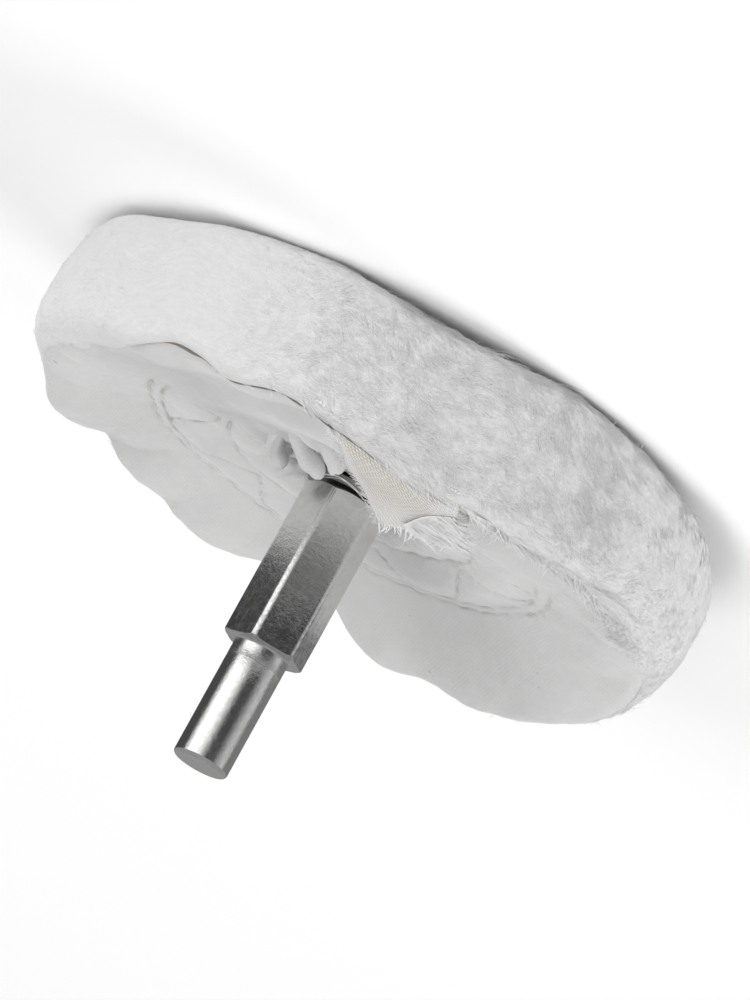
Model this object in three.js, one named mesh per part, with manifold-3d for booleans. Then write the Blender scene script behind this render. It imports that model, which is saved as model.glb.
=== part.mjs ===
// A 75 mm cloth polishing mop clamped on a steel arbor: a long hexagon with a round 6 mm drill shank.
// Millimetres, +Z up. The mop lies on its front face at z = 0 and the shank points up along +Z.
// The origin is on the spindle axis, and the hexagon has flats square to -Y and +Y.
import * as THREE from 'three';
import { mergeVertices } from 'three/addons/utils/BufferGeometryUtils.js';
import Module from 'manifold-3d';

const wasm = await Module();
wasm.setup();

// Arbor
const HEX_FLATS = 8;
const HEX_CORNER_RADIUS = 0.4;
const HEX_START = 12.5;
const HEX_LENGTH = 17.8;
const HEX_FACE_RADIUS = 3.95;
const HEX_CORNER_REACH = 4.75;
const HEX_CHAMFER = 0.45;
const SHANK_RADIUS = 3;
const SHANK_LENGTH = 13.4;
const SHANK_CHAMFER = 0.35;
const SHOULDER = HEX_START + HEX_LENGTH;
const SHANK_END = SHOULDER + SHANK_LENGTH;
const ROUND_SIDES = 48;

// M5 clamping set
const SCREW_RADIUS = 2.5;
const SCREW_HEAD_RADIUS = 4.6;
const SCREW_HEAD_BOTTOM = 1.4;
const SCREW_HEAD_TOP = 3.3;
const SCREW_END = HEX_START + 9;
const TAPPED_RADIUS = 2.6;
const TAPPED_DEPTH = 12;
const RECESS_WIDTH = 0.9;
const RECESS_SPAN = 4.4;
const RECESS_DEPTH = 1.2;
const HEAD_CROWN = 0.5;
const FRONT_WASHER = { inner: 2.7, outer: 10, bottom: 3.35, top: 4.35 };
const BACK_WASHER = { inner: 2.7, outer: 5, bottom: HEX_START - 2.45, top: HEX_START - 1.45 };
const LOCK_WASHER = { inner: 2.7, outer: 4.6, bottom: HEX_START - 1.38, height: 1.1, rise: 0.22, gap: 12 };

// Cloth mop
const MOP_RADIUS = 37.5;
const HUB_HOLE = 2.8;
const PLY_THICKNESS = 0.42;
const PLY_GAP = 0.07;
const INNER_PLIES = 8;
const PLY_LEVELS = INNER_PLIES + 3;
const AROUND = 36;
const INNER_STITCH = 14;
const OUTER_STITCH = 23;
const PETALS = 7;
const PETAL_RADIUS = 18.5;
const PETAL_DEPTH = 2.6;
const PETAL_TURN = 190;
const STITCH_RADIUS = 0.14;
const STITCH_CLEARANCE = 0.2;
const PLY_EDGE = 35.2;

// The stack of plies by radius: the level of its front face, and how far its back face is from the
// hexagon's end. It is clamped at the hub, drawn in by rings of stitching, and fanned out at the rim.
const STATIONS = [
  { r: HUB_HOLE, front: 4.4, back: HEX_START - 2.5 },
  { r: 5.3, front: 4.4, back: HEX_START - 2.5 },
  { r: 7.6, front: 4.4, back: HEX_START - 0.9 },
  { r: 10.3, front: 4.4, back: HEX_START - 0.6 },
  { r: INNER_STITCH, front: 2, back: HEX_START - 0.8 },
  { r: 18.5, front: 0.6, back: HEX_START },
  { r: OUTER_STITCH, front: 0.8, back: HEX_START - 0.6 },
  { r: 29.5, front: 0, back: HEX_START + 0.1 },
  { r: PLY_EDGE, front: 0, back: HEX_START - 0.3 },
];
const INNER_STATIONS = [...STATIONS.slice(0, 2), STATIONS[3], STATIONS[6], STATIONS[8]];
const COVER_STATIONS = [...STATIONS.slice(0, 2), ...STATIONS.slice(3, 8)];
const LINING_STATIONS = INNER_STATIONS.slice(0, 4);

// The back edge of the rim waves towards the shank: lobes by their angle, height and half width.
const RIM_BASE_RISE = 0.4;
const RIM_LOBES = [
  { angle: 86, rise: 1.2, width: 8 },
  { angle: 119, rise: 3.2, width: 9 },
  { angle: 142, rise: 3.9, width: 15 },
  { angle: 269, rise: 3.2, width: 17 },
  { angle: 306, rise: 1.8, width: 9 },
  { angle: 330, rise: 2.6, width: 10 },
];

// The lining's free edge stands out of the rim as a frayed flap on one side.
const FLAP = { angle: 268, width: 16, root: 34.4, inward: 8.6, lift: 3.6, tuck: 0.6 };
const LIP_LEVEL = HEX_START - 0.18;

const degrees = THREE.MathUtils.degToRad;
const smooth = THREE.MathUtils.smoothstep;
const mix = THREE.MathUtils.lerp;

const steel = new THREE.MeshStandardMaterial({ color: 0xb9b9b8, roughness: 0.22, metalness: 1 });
const darkSteel = new THREE.MeshStandardMaterial({ color: 0x8f8f8e, roughness: 0.35, metalness: 1 });
const flannel = new THREE.MeshStandardMaterial({ color: 0xe6e6e4, roughness: 1, metalness: 0 });
const cotton = new THREE.MeshStandardMaterial({ color: 0xd8d5d0, roughness: 1, metalness: 0 });
const thread = new THREE.MeshStandardMaterial({ color: 0xcfccc7, roughness: 0.9, metalness: 0 });

const polishingMop = new THREE.Group();

function addMesh(name, geometry, material) {
  const mesh = new THREE.Mesh(geometry, material);
  mesh.name = name;
  polishingMop.add(mesh);
}

// A solid of revolution about Z from a profile of [radius, height] points.
function turned(profile, sides = ROUND_SIDES) {
  const geometry = new THREE.LatheGeometry(profile.map(([r, z]) => new THREE.Vector2(r, z)), sides);
  return geometry.rotateX(Math.PI / 2);
}

function toManifold(geometry) {
  const bare = geometry.clone();
  bare.deleteAttribute('normal');
  bare.deleteAttribute('uv');
  const merged = mergeVertices(bare, 1e-5);
  const triVerts = new Uint32Array(merged.index.array);
  const vertProperties = new Float32Array(merged.attributes.position.array);
  return new wasm.Manifold(new wasm.Mesh({ numProp: 3, vertProperties, triVerts }));
}

function toGeometry(manifold) {
  const { vertProperties, triVerts } = manifold.getMesh();
  const geometry = new THREE.BufferGeometry();
  geometry.setAttribute('position', new THREE.BufferAttribute(vertProperties, 3));
  geometry.setIndex(new THREE.BufferAttribute(triVerts, 1));
  geometry.computeVertexNormals();
  return geometry;
}

// A hexagon with rounded corners and flats square to the Y axis.
function hexagonShape(flats, cornerRadius) {
  const shape = new THREE.Shape();
  const centre = (flats / 2 - cornerRadius) / Math.cos(degrees(30));
  for (let corner = 0; corner < 6; corner += 1) {
    const angle = degrees(60 * corner);
    const x = centre * Math.cos(angle);
    const y = centre * Math.sin(angle);
    shape.absarc(x, y, cornerRadius, angle - degrees(30), angle + degrees(30), false);
  }
  return shape.closePath();
}

// The turned envelope that gives the hexagon its two chamfered ends.
function hexagonEnvelope() {
  const slope = (HEX_CORNER_REACH - HEX_FACE_RADIUS) * Math.tan(degrees(30));
  const profile = [
    [0, HEX_START],
    [HEX_FACE_RADIUS, HEX_START],
    [HEX_CORNER_REACH, HEX_START + slope],
    [HEX_CORNER_REACH, SHOULDER - HEX_CHAMFER],
    [HEX_FLATS / 2, SHOULDER],
    [0, SHOULDER],
  ];
  return toManifold(turned(profile));
}

function arborGeometry() {
  const bar = new THREE.ExtrudeGeometry(hexagonShape(HEX_FLATS, HEX_CORNER_RADIUS), {
    depth: HEX_LENGTH,
    bevelEnabled: false,
    curveSegments: 3,
  });
  bar.translate(0, 0, HEX_START);
  const shank = turned([
    [0, SHOULDER - 1],
    [SHANK_RADIUS, SHOULDER - 1],
    [SHANK_RADIUS, SHANK_END - SHANK_CHAMFER],
    [SHANK_RADIUS - SHANK_CHAMFER, SHANK_END],
    [0, SHANK_END],
  ]);
  const bottom = HEX_START + TAPPED_DEPTH;
  const tapping = turned([
    [0, HEX_START - 1],
    [TAPPED_RADIUS, HEX_START - 1],
    [TAPPED_RADIUS, bottom],
    [0, bottom + TAPPED_RADIUS * Math.tan(degrees(30))],
  ]);
  const hexagon = toManifold(bar).intersect(hexagonEnvelope());
  return toGeometry(hexagon.add(toManifold(shank)).subtract(toManifold(tapping)));
}

// A pan-head screw with a cross recess, pushed up through the mop from its front.
function screwGeometry() {
  const body = turned([
    [0, SCREW_HEAD_BOTTOM],
    [SCREW_HEAD_RADIUS - 1.5 * HEAD_CROWN, SCREW_HEAD_BOTTOM],
    [SCREW_HEAD_RADIUS - 0.4 * HEAD_CROWN, SCREW_HEAD_BOTTOM + 0.4 * HEAD_CROWN],
    [SCREW_HEAD_RADIUS, SCREW_HEAD_BOTTOM + 1.5 * HEAD_CROWN],
    [SCREW_HEAD_RADIUS, SCREW_HEAD_TOP],
    [SCREW_RADIUS, SCREW_HEAD_TOP],
    [SCREW_RADIUS, SCREW_END - 0.5],
    [SCREW_RADIUS - 0.5, SCREW_END],
    [0, SCREW_END],
  ], 32);
  const slot = new THREE.BoxGeometry(RECESS_SPAN, RECESS_WIDTH, 2 * RECESS_DEPTH);
  slot.translate(0, 0, SCREW_HEAD_BOTTOM);
  const crossSlot = slot.clone().rotateZ(Math.PI / 2);
  return toGeometry(toManifold(body).subtract(toManifold(slot)).subtract(toManifold(crossSlot)));
}

function washerGeometry({ inner, outer, bottom, top }) {
  const edge = 0.12;
  return turned([
    [inner, bottom],
    [outer - edge, bottom],
    [outer, bottom + edge],
    [outer, top - edge],
    [outer - edge, top],
    [inner, top],
    [inner, bottom],
  ], 40);
}

// A closed skin over a grid of rows, each row the same closed loop of points. A ring joins its last row
// to its first, and an open strip gets a cap at each end.
function loftedSolid(rows, isRing) {
  const across = rows[0].length;
  const positions = rows.flat(2);
  const index = [];
  const steps = isRing ? rows.length : rows.length - 1;
  for (let row = 0; row < steps; row += 1) {
    const next = (row + 1) % rows.length;
    for (let column = 0; column < across; column += 1) {
      const beside = (column + 1) % across;
      const a = row * across + column;
      const b = row * across + beside;
      const c = next * across + beside;
      const d = next * across + column;
      index.push(a, c, b, a, d, c);
    }
  }
  if (!isRing) {
    const last = (rows.length - 1) * across;
    for (let column = 1; column < across - 1; column += 1) {
      index.push(0, column, column + 1);
      index.push(last, last + column + 1, last + column);
    }
  }
  const geometry = new THREE.BufferGeometry();
  geometry.setAttribute('position', new THREE.Float32BufferAttribute(positions, 3));
  geometry.setIndex(index);
  geometry.computeVertexNormals();
  return geometry;
}

function polar(r, angle, z) {
  return [r * Math.cos(angle), r * Math.sin(angle), z];
}

// One turn of square wire with a split, its two ends a little apart in height.
function lockWasherGeometry({ inner, outer, bottom, height, rise, gap }) {
  const steps = 32;
  const rows = [];
  for (let step = 0; step <= steps; step += 1) {
    const share = step / steps;
    const angle = degrees(gap / 2 + share * (360 - gap));
    const low = bottom + (rise - rise * share) / 2;
    const high = low + height - rise / 2;
    rows.push([
      polar(inner, angle, low),
      polar(outer, angle, low),
      polar(outer, angle, high),
      polar(inner, angle, high),
    ]);
  }
  return loftedSolid(rows, false);
}

function turnBetween(angle, centre) {
  return THREE.MathUtils.euclideanModulo(angle - centre + 180, 360) - 180;
}

function rimRise(angle) {
  const lobe = ({ angle: centre, rise, width }) => (
    rise * Math.exp(-((turnBetween(angle, centre) / width) ** 2))
  );
  return RIM_LOBES.reduce((sum, item) => sum + lobe(item), RIM_BASE_RISE);
}

// The disc is very slightly four-lobed, which keeps it centred on the spindle.
function outline(angle) {
  return 1 - 0.008 * (1 - Math.cos(degrees(4 * angle)));
}

// Places a cloth point of the flat mop at its waved position.
function clothPoint(angle, r, z) {
  const shareOfRim = smooth(r, OUTER_STITCH, PLY_EDGE);
  const shareOfHeight = THREE.MathUtils.clamp(z / HEX_START, 0, 1) ** 1.5;
  const lift = rimRise(angle) * shareOfRim * shareOfHeight;
  return polar(r * mix(1, outline(angle), shareOfRim), degrees(angle), z + lift);
}

function ringOf(loopAt) {
  const rows = [];
  for (let step = 0; step < AROUND; step += 1) {
    rows.push(loopAt((360 / AROUND) * step));
  }
  return loftedSolid(rows, true);
}

// The lower and upper faces of the ply at one level of the stack, from the hub out.
function plyFaces(level, stations) {
  return stations.map(({ r, front, back }) => {
    const pitch = (back - front) / PLY_LEVELS;
    const middle = front + pitch * (level + 0.5);
    const half = Math.min(PLY_THICKNESS, pitch - PLY_GAP) / 2;
    return { r, low: middle - half, high: middle + half };
  });
}

function discPly(level, stations) {
  const faces = plyFaces(level, stations);
  const below = faces.map(({ r, low }) => [r, low]);
  const above = faces.map(({ r, high }) => [r, high]).reverse();
  const loop = [...below, ...above];
  return ringOf((angle) => loop.map(([r, z]) => clothPoint(angle, r, z)));
}

// A ply that covers the front and turns back over the rim. Its wall is a run of [radius, height] points,
// and the skin is closed by the same run moved in by the cloth's thickness.
function turnedBackPly(level, stations, wall, flapAt = () => []) {
  const faces = plyFaces(level, stations);
  const outside = faces.map(({ r, low }) => [r, low]);
  const inside = faces.map(({ r, high }) => [r, high]);
  for (const { outer, inner } of wall) {
    outside.push(outer);
    inside.push(inner);
  }
  inside.reverse();
  const placed = (angle, run) => run.map(([r, z]) => clothPoint(angle, r, z));
  return ringOf((angle) => [...placed(angle, outside), ...flapAt(angle), ...placed(angle, inside)]);
}

// The napped cover: up the rim and turned in over the back edge.
function coverGeometry() {
  const r = MOP_RADIUS;
  const t = PLY_THICKNESS;
  const top = HEX_START + 0.8;
  return turnedBackPly(0, COVER_STATIONS, [
    { outer: [r - 1.7, 0], inner: [r - 1.7, t] },
    { outer: [r - 0.4, 0.9], inner: [r - 0.4 - t, 1.1] },
    { outer: [r, 2.8], inner: [r - t, 2.8] },
    { outer: [r, top - 3.2], inner: [r - t, top - 3.2] },
    { outer: [r - 0.4, top - 1], inner: [r - 0.4 - t, top - 1.2] },
    { outer: [r - 1.4, top], inner: [r - 1.4, top - t] },
    { outer: [r - 2.3, top], inner: [r - 2.3, top - t] },
  ]);
}

// The strip of lining beyond the rim: a short tuck all round, which grows into the frayed flap.
function flapStrip(angle) {
  const size = Math.exp(-((Math.abs(turnBetween(angle, FLAP.angle)) / FLAP.width) ** 4));
  const root = clothPoint(angle, FLAP.root, LIP_LEVEL);
  const reach = FLAP.tuck + FLAP.inward * size;
  const along = (share, above) => {
    const r = FLAP.root - reach * share;
    const lift = FLAP.lift * size * share ** 0.7;
    return polar(r, degrees(angle), root[2] + lift + above);
  };
  return [along(0.5, PLY_THICKNESS), along(1, PLY_THICKNESS), along(1, 0), along(0.5, 0)];
}

function liningGeometry() {
  const r = MOP_RADIUS - 0.55;
  const t = PLY_THICKNESS;
  return turnedBackPly(1, LINING_STATIONS, [
    { outer: [r - 1.5, 1.0], inner: [r - 1.7, 1.0 + t] },
    { outer: [r - 0.5, 1.8], inner: [r - 0.5 - t, 2.0] },
    { outer: [r - 0.05, 3.2], inner: [r - 0.05 - t, 3.2] },
    { outer: [r - 0.05, HEX_START - 2.2], inner: [r - 0.05 - t, HEX_START - 2.3] },
    { outer: [r - 0.5, HEX_START - 0.6], inner: [r - 0.5 - t, HEX_START - 0.8] },
    { outer: [r - 2.0, LIP_LEVEL + t], inner: [r - 2.0, LIP_LEVEL] },
  ], flapStrip);
}

// A row of stitching: a thin thread that follows the cloth's front or back face round the spindle.
function stitchGeometry(side, radiusAt) {
  const sections = 4;
  const isBack = side === 'back';
  const faces = plyFaces(isBack ? PLY_LEVELS - 1 : 0, STATIONS);
  const levelAt = (r) => {
    const after = faces.findIndex((face) => face.r > r);
    const [near, far] = [faces[after - 1], faces[after]];
    const share = (r - near.r) / (far.r - near.r);
    return isBack ? mix(near.high, far.high, share) : mix(near.low, far.low, share);
  };
  const offset = (STITCH_RADIUS + STITCH_CLEARANCE) * (isBack ? 1 : -1);
  return ringOf((angle) => {
    const r = radiusAt(angle);
    const centre = clothPoint(angle, r, levelAt(r) + offset);
    const loop = [];
    for (let section = 0; section < sections; section += 1) {
      const turn = (2 * Math.PI * section) / sections;
      const radius = Math.hypot(centre[0], centre[1]) + STITCH_RADIUS * Math.cos(turn);
      loop.push(polar(radius, degrees(angle), centre[2] + STITCH_RADIUS * Math.sin(turn)));
    }
    return loop;
  });
}

const petalRadius = (angle) => PETAL_RADIUS + PETAL_DEPTH * Math.cos(degrees(PETALS * (angle - PETAL_TURN)));

addMesh('arbor', arborGeometry(), steel);
addMesh('clamp_screw', screwGeometry(), steel);
addMesh('front_washer', washerGeometry(FRONT_WASHER), steel);
addMesh('back_washer', washerGeometry(BACK_WASHER), steel);
addMesh('lock_washer', lockWasherGeometry(LOCK_WASHER), darkSteel);

addMesh('cover_ply', coverGeometry(), flannel);
addMesh('lining_ply', liningGeometry(), cotton);
for (let ply = 1; ply <= INNER_PLIES; ply += 1) {
  addMesh(`inner_ply_${ply}`, discPly(ply + 1, INNER_STATIONS), cotton);
}
addMesh('back_ply', discPly(PLY_LEVELS - 1, STATIONS), cotton);

for (const side of ['front', 'back']) {
  addMesh(`stitch_inner_${side}`, stitchGeometry(side, () => INNER_STITCH), thread);
  addMesh(`stitch_petal_${side}`, stitchGeometry(side, petalRadius), thread);
  addMesh(`stitch_outer_${side}`, stitchGeometry(side, () => OUTER_STITCH), thread);
}

export default polishingMop;
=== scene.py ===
"""The looks of a cloth polishing mop on its steel arbor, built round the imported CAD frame."""
import math

import bpy
import numpy as np
from mathutils import Matrix, Vector


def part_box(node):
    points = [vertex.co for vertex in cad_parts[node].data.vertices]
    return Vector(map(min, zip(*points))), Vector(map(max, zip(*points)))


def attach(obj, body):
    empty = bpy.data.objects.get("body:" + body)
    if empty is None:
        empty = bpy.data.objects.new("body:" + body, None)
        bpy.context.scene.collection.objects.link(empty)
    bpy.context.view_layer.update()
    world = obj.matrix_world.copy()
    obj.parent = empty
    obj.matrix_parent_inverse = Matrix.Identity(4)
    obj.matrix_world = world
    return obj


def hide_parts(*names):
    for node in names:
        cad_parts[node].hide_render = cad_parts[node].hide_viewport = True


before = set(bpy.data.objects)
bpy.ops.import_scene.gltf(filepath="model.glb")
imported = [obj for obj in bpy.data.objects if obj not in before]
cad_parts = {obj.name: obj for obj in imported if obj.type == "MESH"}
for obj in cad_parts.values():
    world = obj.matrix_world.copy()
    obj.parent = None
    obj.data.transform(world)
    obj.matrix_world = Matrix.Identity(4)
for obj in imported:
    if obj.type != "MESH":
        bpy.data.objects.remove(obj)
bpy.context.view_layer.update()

MM = 0.001


def cad_box(cad_node):
    """The low and high corners of a CAD piece, in millimetres."""
    return (np.array(corner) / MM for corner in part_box(cad_node))


# Driving sizes in millimetres, with the first ones read from the frame's own boxes.
ARBOR_LOW, ARBOR_HIGH = cad_box("arbor")
MOP_RADIUS = max(corner[0] for corner in cad_box("cover_ply"))
HEX_END = ARBOR_LOW[2]
HEX_APOTHEM = ARBOR_HIGH[1]
HEX_CORNER_ROUNDING = 0.85
SHANK_END = ARBOR_HIGH[2]
SHANK_RADIUS = 3.0
SHANK_LENGTH = 13.4
SHANK_TIP_ROUNDING = 0.42
SHOULDER = SHANK_END - SHANK_LENGTH
TAPPED_RADIUS = 2.6
TAPPED_DEPTH = 12.0
WASHER_BORE = 2.7
AXIS_RADIUS = 0.02
HUB_HOLE = 2.8
INNER_DISC_HOLE = 3.0
INNER_RING = 14.0
OUTER_RING = 23.0
SECOND_OUTER_RING = OUTER_RING - 1.5
PETALS = 7
PETAL_RING = 18.3
PETAL_REACH = 3.1
STITCH_LENGTH = 1.9
STITCH_GAP = 0.9
STITCH_WIDTH = 0.2
COVER_THICKNESS = 0.34
BACK_THICKNESS = 0.34
LINING_THICKNESS = 0.24
INNER_THICKNESS = 0.26
TURNED_SIDES = 540
PLY_ROWS = 92
RIM_INSET = 0.75
MOP_SHIFT = 0.7
UP = np.array([0, 0, 1.0])


# ---- numbers and curves

def rad(degrees):
    return np.radians(degrees)


def mix(a, b, share):
    return a + (b - a) * share


def ramp(x, low, high):
    t = np.clip((np.asarray(x, float) - low) / (high - low), 0, 1)
    return t * t * (3 - 2 * t)


def bump_at(x, centre, width):
    return np.exp(-(((x - centre) / width) ** 2))


def turn_between(angle, centre):
    return (angle - centre + 180) % 360 - 180


def bump_round(angle, centre, width):
    return bump_at(turn_between(angle, centre), 0, width)


def unit(vectors, tiny=0.0):
    return vectors / (np.linalg.norm(vectors, axis=-1, keepdims=True) + tiny)


def circle(sides):
    return np.arange(sides) * 360 / sides


def hermite(x, xs, ys):
    """A smooth curve through the points, with the slope at each one from its neighbours."""
    xs, ys = np.asarray(xs, float), np.asarray(ys, float)
    slopes = np.gradient(ys, xs)
    place = np.clip(np.searchsorted(xs, x) - 1, 0, len(xs) - 2)
    width = xs[place + 1] - xs[place]
    t = np.clip((x - xs[place]) / width, 0, 1)
    return (
        (2 * t**3 - 3 * t**2 + 1) * ys[place]
        + (t**3 - 2 * t**2 + t) * width * slopes[place]
        + (3 * t**2 - 2 * t**3) * ys[place + 1]
        + (t**3 - t**2) * width * slopes[place + 1]
    )


def round_curve(points):
    """A smooth closed function of the angle in degrees, through (angle, value) points."""
    angles, values = zip(*sorted((angle % 360, value) for angle, value in points))
    xs = [a - 360 for a in angles[-3:]] + [*angles] + [a + 360 for a in angles[:3]]
    ys = values[-3:] + values + values[:3]
    return lambda angle: hermite(np.asarray(angle) % 360, xs, ys)


def wobble(points, size, seed, waves=14):
    """Smooth random relief from -1 to 1 over points in millimetres, with lumps about size across."""
    draw = np.random.default_rng(seed)
    total = np.zeros(points.shape[:-1])
    for _ in range(waves):
        axis = draw.normal(size=3)
        axis *= 2 * math.pi / (size * 2 * draw.uniform(0.7, 1.5) * np.linalg.norm(axis))
        total += np.sin(points @ axis + draw.uniform(0, 2 * math.pi))
    return total / math.sqrt(waves / 2) / 1.6


def lumps(points, *layers):
    """Several reliefs together, each one as (height, size, seed)."""
    return sum(height * wobble(points, size, seed) for height, size, seed in layers)


def drift(points, size, seed):
    """A smooth random shift of each point in all three directions."""
    return np.stack([wobble(points, size, seed + k) for k in range(3)], axis=-1)


def polar(r, angle, z):
    r, angle, z = np.broadcast_arrays(r, rad(angle), z)
    return np.stack([r * np.cos(angle), r * np.sin(angle), z], axis=-1)


# ---- meshes

def grid_faces(rows, columns, wrap_rows=False, wrap_columns=False):
    numbers = np.arange(rows * columns).reshape(rows, columns)
    if wrap_rows:
        numbers = np.vstack([numbers, numbers[:1]])
    if wrap_columns:
        numbers = np.hstack([numbers, numbers[:, :1]])
    corners = [numbers[:-1, :-1], numbers[:-1, 1:], numbers[1:, 1:], numbers[1:, :-1]]
    return np.stack([c.ravel() for c in corners], axis=-1)


def capped_faces(rings, sides):
    """The walls, the first cap and the last cap of one tube."""
    walls = grid_faces(rings, sides, wrap_columns=True)
    return walls, np.arange(sides)[::-1][None], np.arange((rings - 1) * sides, rings * sides)[None]


def turned_over(blocks):
    return [block[:, ::-1] for block in blocks]


def add_object(name, data):
    made = bpy.data.objects.new(name, data)
    bpy.context.scene.collection.objects.link(made)
    return made


def add_piece(name, points, faces, material, replaces=(), normals=None):
    """A mesh piece from points in millimetres and blocks of faces, riding on the one body."""
    mesh = bpy.data.meshes.new(name)
    faces = [np.asarray(block, np.int32) for block in faces]
    sizes = np.concatenate([np.full(len(block), block.shape[1], np.int32) for block in faces])
    loops = np.concatenate([block.ravel() for block in faces])
    starts = np.concatenate([[0], np.cumsum(sizes)[:-1]]).astype(np.int32)
    points = np.asarray(points, float).reshape(-1, 3) * MM
    mesh.vertices.add(len(points))
    mesh.vertices.foreach_set("co", points.astype(np.float32).ravel())
    mesh.loops.add(len(loops))
    mesh.loops.foreach_set("vertex_index", loops)
    mesh.polygons.add(len(sizes))
    mesh.polygons.foreach_set("loop_start", starts)
    mesh.polygons.foreach_set("use_smooth", np.ones(len(sizes), bool))
    mesh.update(calc_edges=True)
    mesh.validate()
    if normals is not None:
        mesh.normals_split_custom_set_from_vertices(normals.reshape(-1, 3).tolist())
    mesh.materials.append(material)
    piece = add_object(name, mesh)
    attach(piece, "root")
    for node in replaces:
        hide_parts(node)
    return piece


def store(piece, name, values):
    """Keeps a number or a vector at each point, for the materials to read."""
    values = np.asarray(values, np.float32)
    is_vector = values.size == 3 * len(piece.data.vertices)
    kind, field = ("FLOAT_VECTOR", "vector") if is_vector else ("FLOAT", "value")
    piece.data.attributes.new(name, kind, "POINT").data.foreach_set(field, values.ravel())


def thicken(piece, thickness):
    layer = piece.modifiers.new("thickness", "SOLIDIFY")
    layer.thickness = thickness * MM
    layer.offset = -1.0
    layer.use_even_offset = False


def add_ply(name, points, flat_r, angles, material, cad_node, thickness, flipped=False):
    """A cloth disc. Its cut keeps each point's place on the flat cloth in millimetres, for the weave."""
    faces = [grid_faces(*points.shape[:2], wrap_rows=True)]
    piece = add_piece(name, points, turned_over(faces) if flipped else faces, material, [cad_node])
    store(piece, "cut", polar(flat_r, angles, 0))
    thicken(piece, thickness)
    return piece


def rounded_loop(inner, outer, low, high, rounding, steps=5):
    """The closed (radius, height) outline of a ring's section, with rounded corners."""
    corners = np.array([(inner, low), (outer, low), (outer, high), (inner, high)], float)
    outline = []
    for before, here, after in zip(np.roll(corners, 1, 0), corners, np.roll(corners, -1, 0)):
        start = here + (before - here) / np.linalg.norm(before - here) * rounding
        end = here + (after - here) / np.linalg.norm(after - here) * rounding
        for t in np.linspace(0, 1, steps):
            outline.append((1 - t) ** 2 * start + 2 * t * (1 - t) * here + t**2 * end)
    return np.array(outline).T


def tubes(spine, normals, widths, sides, pointed):
    """Tubes along spines of shape (count, rings, 3), closed at both ends."""
    count, rings, _ = spine.shape
    along = unit(np.gradient(spine, axis=1), 1e-9)
    across = unit(np.cross(along, normals[:, None, :]), 1e-9)
    up = np.cross(across, along)
    share = np.linspace(0, 1, rings)
    taper = 1 - 0.85 * share**2 if pointed else 1 - 0.25 * share**3
    radius = widths[:, None, None] / 2 * taper[None, :, None]
    rounds = []
    for side in range(sides):
        turn = 2 * math.pi * side / sides
        rounds.append(spine + radius * (math.cos(turn) * across + math.sin(turn) * up))
    points = np.stack(rounds, axis=2)
    walls, first, last = turned_over(capped_faces(rings, sides))
    base = np.arange(count)[:, None, None] * (rings * sides)
    caps = np.concatenate([first + base[:, :, 0], last + base[:, :, 0]])
    return points, [(walls[None] + base).reshape(-1, 4), caps]


# ---- materials

def grey(value, warmth=0.0):
    return (value * (1 + warmth), value, value * (1 - 1.4 * warmth), 1.0)


class Look:
    """The nodes of a material or of the world, each one added by a short call that returns its outputs."""

    def __init__(self, owner, shader="Principled BSDF"):
        owner.use_nodes = True
        self.owner = owner
        self.tree = owner.node_tree
        self.shader = self.tree.nodes[shader]

    def fill(self, socket, value):
        if isinstance(value, bpy.types.NodeSocket):
            self.tree.links.new(value, socket)
        else:
            socket.default_value = value

    def node(self, kind, inputs, **settings):
        """Adds a node, with its inputs given by name or by number, and returns its outputs."""
        made = self.tree.nodes.new("ShaderNode" + kind)
        for key, value in settings.items():
            setattr(made, key, value)
        for key, value in inputs.items():
            self.fill(made.inputs[key], value)
        return made.outputs

    def maths(self, operation, *values):
        return self.node("Math", dict(enumerate(values)), operation=operation)[0]

    def times(self, a, b):
        return self.maths("MULTIPLY", a, b)

    def plus(self, a, b):
        return self.maths("ADD", a, b)

    def vector(self, operation, a, b):
        return self.node("VectorMath", {0: a, 1: b}, operation=operation)

    def noise(self, place, scale, detail, roughness=0.55, distortion=0.0, output="Fac"):
        inputs = {"Vector": place, "Scale": scale, "Detail": detail, "Roughness": roughness}
        return self.node("TexNoise", inputs | {"Distortion": distortion})[output]

    def drifted(self, place, scale, detail, reach):
        """The place, moved by a slow random drift."""
        colour = self.noise(place, scale, detail, 0.5, output="Color")
        return self.vector("ADD", place, self.vector("MULTIPLY", colour, (reach,) * 3)[0])[0]

    def between(self, value, low, high, to_low=0.0, to_high=1.0):
        return self.node("MapRange", {0: value, 1: low, 2: high, 3: to_low, 4: to_high}, clamp=True)[0]

    def window(self, turn, rise, fall):
        """1 between two angles, with each soft edge given as two angles in degrees."""
        return self.times(self.between(turn, *rad(rise)), self.between(turn, *rad(fall)))

    def blend(self, share, first, second):
        return self.node("Mix", {0: share, 6: first, 7: second}, data_type="RGBA")[2]

    def attribute(self, name, output="Fac"):
        return self.node("Attribute", {}, attribute_name=name)[output]

    def parts(self, vector):
        return self.node("SeparateXYZ", {0: vector})

    def place(self):
        return self.node("TexCoord", {})["Object"]

    def relief(self, height, strength, distance):
        return self.node("Bump", {"Strength": strength, "Distance": distance, "Height": height})[0]

    def shade(self, **inputs):
        """Fills the shader's own inputs and hands the finished material back."""
        for name, value in inputs.items():
            self.fill(self.shader.inputs[name.replace("_", " ")], value)
        return self.owner


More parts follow.
